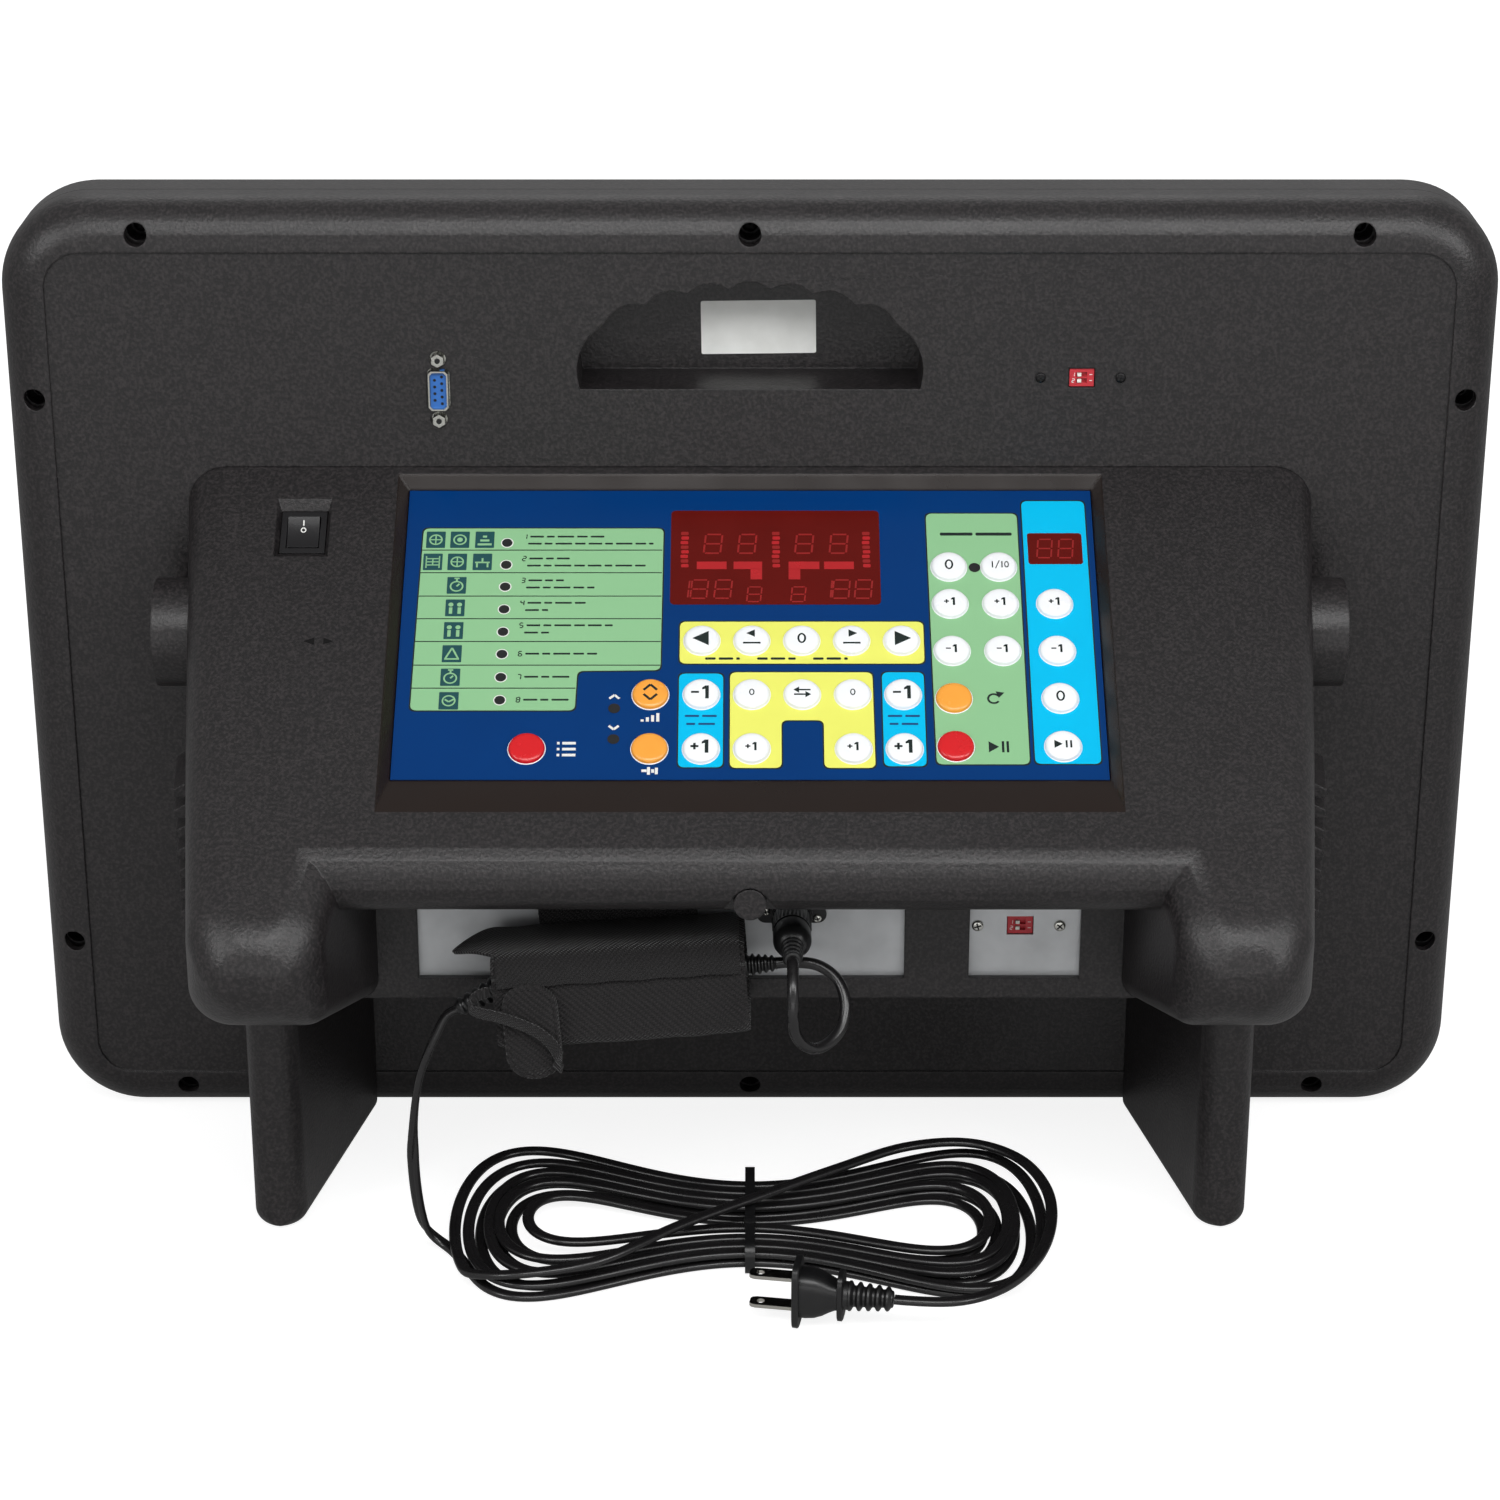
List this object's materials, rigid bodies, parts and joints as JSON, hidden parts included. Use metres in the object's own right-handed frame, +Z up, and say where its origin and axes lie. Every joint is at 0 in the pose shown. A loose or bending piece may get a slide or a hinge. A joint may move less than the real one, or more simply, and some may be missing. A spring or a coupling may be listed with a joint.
{
  "type": "electronic scoreboard",
  "caption": "Tabletop electronic scoreboard seen from its operator side: display case with hand grip, sloping keypad console on two fins, service ports, pouched adapter and wound mains cord.",
  "frame": {"origin": "centre of the footprint at the surface the case stands on, cords left out", "axes": "+Y towards the side that shows the score, +X to the operator's right, +Z up"},
  "size_m": [0.598, 0.2435, 0.4],
  "materials": {
    "housing": "fine texture",
    "lens": "smoked gloss",
    "circuit_board": "solder mask",
    "overlay": "satin printed film",
    "key_white": "satin",
    "key_orange": "satin",
    "key_red": "satin",
    "switch": "satin",
    "plate": "zinc plated, dull",
    "port_metal": "nickel plated",
    "dip_body": "moulded",
    "lever": "moulded",
    "cord": "satin vinyl",
    "adapter": "fine texture",
    "webbing": "woven nylon",
    "horn": "moulded"
  },
  "bodies": {
    "base": {"front_bezel": "housing", "display_lens": "lens", "display_board": "circuit_board", "rear_cover": "housing", "console_shell": "housing", "leg_left": "housing", "leg_right": "housing", "horn_speaker": "horn", "keypad_panel": "overlay", "keypad_board": "circuit_board", "rocker_frame": "switch", "socket_plate": "plate", "dip_plate": "plate", "upper_dip_body": "dip_body", "lower_dip_body": "dip_body", "data_port": "port_metal", "power_socket": "port_metal", "dc_plug": "cord", "power_adapter": "adapter", "adapter_pouch": "webbing", "dc_lead": "cord", "mains_lead": "cord", "mains_hank": "cord", "hank_tie": "cord", "mains_tail": "cord", "mains_plug": "cord"},
    "set_key_1": {"set_key_1": "key_white"},
    "set_key_2": {"set_key_2": "key_white"},
    "set_key_3": {"set_key_3": "key_white"},
    "set_key_4": {"set_key_4": "key_white"},
    "set_key_5": {"set_key_5": "key_white"},
    "guest_minus_key": {"guest_minus_key": "key_white"},
    "score_clear_key": {"score_clear_key": "key_white"},
    "side_key": {"side_key": "key_white"},
    "foul_clear_key": {"foul_clear_key": "key_white"},
    "home_minus_key": {"home_minus_key": "key_white"},
    "guest_plus_key": {"guest_plus_key": "key_white"},
    "guest_foul_key": {"guest_foul_key": "key_white"},
    "home_foul_key": {"home_foul_key": "key_white"},
    "home_plus_key": {"home_plus_key": "key_white"},
    "clock_clear_key": {"clock_clear_key": "key_white"},
    "clock_tenth_key": {"clock_tenth_key": "key_white"},
    "minute_plus_key": {"minute_plus_key": "key_white"},
    "second_plus_key": {"second_plus_key": "key_white"},
    "minute_minus_key": {"minute_minus_key": "key_white"},
    "second_minus_key": {"second_minus_key": "key_white"},
    "clock_reset_key": {"clock_reset_key": "key_orange"},
    "clock_start_key": {"clock_start_key": "key_red"},
    "shot_plus_key": {"shot_plus_key": "key_white"},
    "shot_minus_key": {"shot_minus_key": "key_white"},
    "shot_reset_key": {"shot_reset_key": "key_white"},
    "shot_start_key": {"shot_start_key": "key_white"},
    "volume_key": {"volume_key": "key_orange"},
    "horn_key": {"horn_key": "key_orange"},
    "mode_key": {"mode_key": "key_red"},
    "rocker": {"rocker_key": "switch"},
    "upper_dip_lever_1": {"upper_dip_lever_1": "lever"},
    "upper_dip_lever_2": {"upper_dip_lever_2": "lever"},
    "lower_dip_lever_1": {"lower_dip_lever_1": "lever"},
    "lower_dip_lever_2": {"lower_dip_lever_2": "lever"}
  },
  "joints": [
    {"name": "set_key_1_press", "type": "slide", "parent": "base", "child": "set_key_1", "axis": [0, 0.5255, -0.8508], "range_m": [0, 0.0006], "stiffness_N_per_m": 900, "springref_m": -0.0004},
    {"name": "set_key_2_press", "type": "slide", "parent": "base", "child": "set_key_2", "axis": [0, 0.5255, -0.8508], "range_m": [0, 0.0006], "stiffness_N_per_m": 900, "springref_m": -0.0004},
    {"name": "set_key_3_press", "type": "slide", "parent": "base", "child": "set_key_3", "axis": [0, 0.5255, -0.8508], "range_m": [0, 0.0006], "stiffness_N_per_m": 900, "springref_m": -0.0004},
    {"name": "set_key_4_press", "type": "slide", "parent": "base", "child": "set_key_4", "axis": [0, 0.5255, -0.8508], "range_m": [0, 0.0006], "stiffness_N_per_m": 900, "springref_m": -0.0004},
    {"name": "set_key_5_press", "type": "slide", "parent": "base", "child": "set_key_5", "axis": [0, 0.5255, -0.8508], "range_m": [0, 0.0006], "stiffness_N_per_m": 900, "springref_m": -0.0004},
    {"name": "guest_minus_press", "type": "slide", "parent": "base", "child": "guest_minus_key", "axis": [0, 0.5255, -0.8508], "range_m": [0, 0.0006], "stiffness_N_per_m": 900, "springref_m": -0.0004},
    {"name": "score_clear_press", "type": "slide", "parent": "base", "child": "score_clear_key", "axis": [0, 0.5255, -0.8508], "range_m": [0, 0.0006], "stiffness_N_per_m": 900, "springref_m": -0.0004},
    {"name": "side_press", "type": "slide", "parent": "base", "child": "side_key", "axis": [0, 0.5255, -0.8508], "range_m": [0, 0.0006], "stiffness_N_per_m": 900, "springref_m": -0.0004},
    {"name": "foul_clear_press", "type": "slide", "parent": "base", "child": "foul_clear_key", "axis": [0, 0.5255, -0.8508], "range_m": [0, 0.0006], "stiffness_N_per_m": 900, "springref_m": -0.0004},
    {"name": "home_minus_press", "type": "slide", "parent": "base", "child": "home_minus_key", "axis": [0, 0.5255, -0.8508], "range_m": [0, 0.0006], "stiffness_N_per_m": 900, "springref_m": -0.0004},
    {"name": "guest_plus_press", "type": "slide", "parent": "base", "child": "guest_plus_key", "axis": [0, 0.5255, -0.8508], "range_m": [0, 0.0006], "stiffness_N_per_m": 900, "springref_m": -0.0004},
    {"name": "guest_foul_press", "type": "slide", "parent": "base", "child": "guest_foul_key", "axis": [0, 0.5255, -0.8508], "range_m": [0, 0.0006], "stiffness_N_per_m": 900, "springref_m": -0.0004},
    {"name": "home_foul_press", "type": "slide", "parent": "base", "child": "home_foul_key", "axis": [0, 0.5255, -0.8508], "range_m": [0, 0.0006], "stiffness_N_per_m": 900, "springref_m": -0.0004},
    {"name": "home_plus_press", "type": "slide", "parent": "base", "child": "home_plus_key", "axis": [0, 0.5255, -0.8508], "range_m": [0, 0.0006], "stiffness_N_per_m": 900, "springref_m": -0.0004},
    {"name": "clock_clear_press", "type": "slide", "parent": "base", "child": "clock_clear_key", "axis": [0, 0.5255, -0.8508], "range_m": [0, 0.0006], "stiffness_N_per_m": 900, "springref_m": -0.0004},
    {"name": "clock_tenth_press", "type": "slide", "parent": "base", "child": "clock_tenth_key", "axis": [0, 0.5255, -0.8508], "range_m": [0, 0.0006], "stiffness_N_per_m": 900, "springref_m": -0.0004},
    {"name": "minute_plus_press", "type": "slide", "parent": "base", "child": "minute_plus_key", "axis": [0, 0.5255, -0.8508], "range_m": [0, 0.0006], "stiffness_N_per_m": 900, "springref_m": -0.0004},
    {"name": "second_plus_press", "type": "slide", "parent": "base", "child": "second_plus_key", "axis": [0, 0.5255, -0.8508], "range_m": [0, 0.0006], "stiffness_N_per_m": 900, "springref_m": -0.0004},
    {"name": "minute_minus_press", "type": "slide", "parent": "base", "child": "minute_minus_key", "axis": [0, 0.5255, -0.8508], "range_m": [0, 0.0006], "stiffness_N_per_m": 900, "springref_m": -0.0004},
    {"name": "second_minus_press", "type": "slide", "parent": "base", "child": "second_minus_key", "axis": [0, 0.5255, -0.8508], "range_m": [0, 0.0006], "stiffness_N_per_m": 900, "springref_m": -0.0004},
    {"name": "clock_reset_press", "type": "slide", "parent": "base", "child": "clock_reset_key", "axis": [0, 0.5255, -0.8508], "range_m": [0, 0.0006], "stiffness_N_per_m": 900, "springref_m": -0.0004},
    {"name": "clock_start_press", "type": "slide", "parent": "base", "child": "clock_start_key", "axis": [0, 0.5255, -0.8508], "range_m": [0, 0.0006], "stiffness_N_per_m": 900, "springref_m": -0.0004},
    {"name": "shot_plus_press", "type": "slide", "parent": "base", "child": "shot_plus_key", "axis": [0, 0.5255, -0.8508], "range_m": [0, 0.0006], "stiffness_N_per_m": 900, "springref_m": -0.0004},
    {"name": "shot_minus_press", "type": "slide", "parent": "base", "child": "shot_minus_key", "axis": [0, 0.5255, -0.8508], "range_m": [0, 0.0006], "stiffness_N_per_m": 900, "springref_m": -0.0004},
    {"name": "shot_reset_press", "type": "slide", "parent": "base", "child": "shot_reset_key", "axis": [0, 0.5255, -0.8508], "range_m": [0, 0.0006], "stiffness_N_per_m": 900, "springref_m": -0.0004},
    {"name": "shot_start_press", "type": "slide", "parent": "base", "child": "shot_start_key", "axis": [0, 0.5255, -0.8508], "range_m": [0, 0.0006], "stiffness_N_per_m": 900, "springref_m": -0.0004},
    {"name": "volume_press", "type": "slide", "parent": "base", "child": "volume_key", "axis": [0, 0.5255, -0.8508], "range_m": [0, 0.0006], "stiffness_N_per_m": 900, "springref_m": -0.0004},
    {"name": "horn_press", "type": "slide", "parent": "base", "child": "horn_key", "axis": [0, 0.5255, -0.8508], "range_m": [0, 0.0006], "stiffness_N_per_m": 900, "springref_m": -0.0004},
    {"name": "mode_press", "type": "slide", "parent": "base", "child": "mode_key", "axis": [0, 0.5255, -0.8508], "range_m": [0, 0.0006], "stiffness_N_per_m": 900, "springref_m": -0.0004},
    {"name": "rocker_swing", "type": "hinge", "parent": "base", "child": "rocker", "pos_m": [-0.178, 0.05074, 0.27174], "axis": [1, 0, 0], "range_deg": [-18, 0]},
    {"name": "upper_dip_shift_1", "type": "slide", "parent": "base", "child": "upper_dip_lever_1", "axis": [1, 0, 0], "range_m": [0, 0.002]},
    {"name": "upper_dip_shift_2", "type": "slide", "parent": "base", "child": "upper_dip_lever_2", "axis": [1, 0, 0], "range_m": [0, 0.002]},
    {"name": "lower_dip_shift_1", "type": "slide", "parent": "base", "child": "lower_dip_lever_1", "axis": [1, 0, 0], "range_m": [0, 0.002]},
    {"name": "lower_dip_shift_2", "type": "slide", "parent": "base", "child": "lower_dip_lever_2", "axis": [1, 0, 0], "range_m": [0, 0.002]}
  ]
}
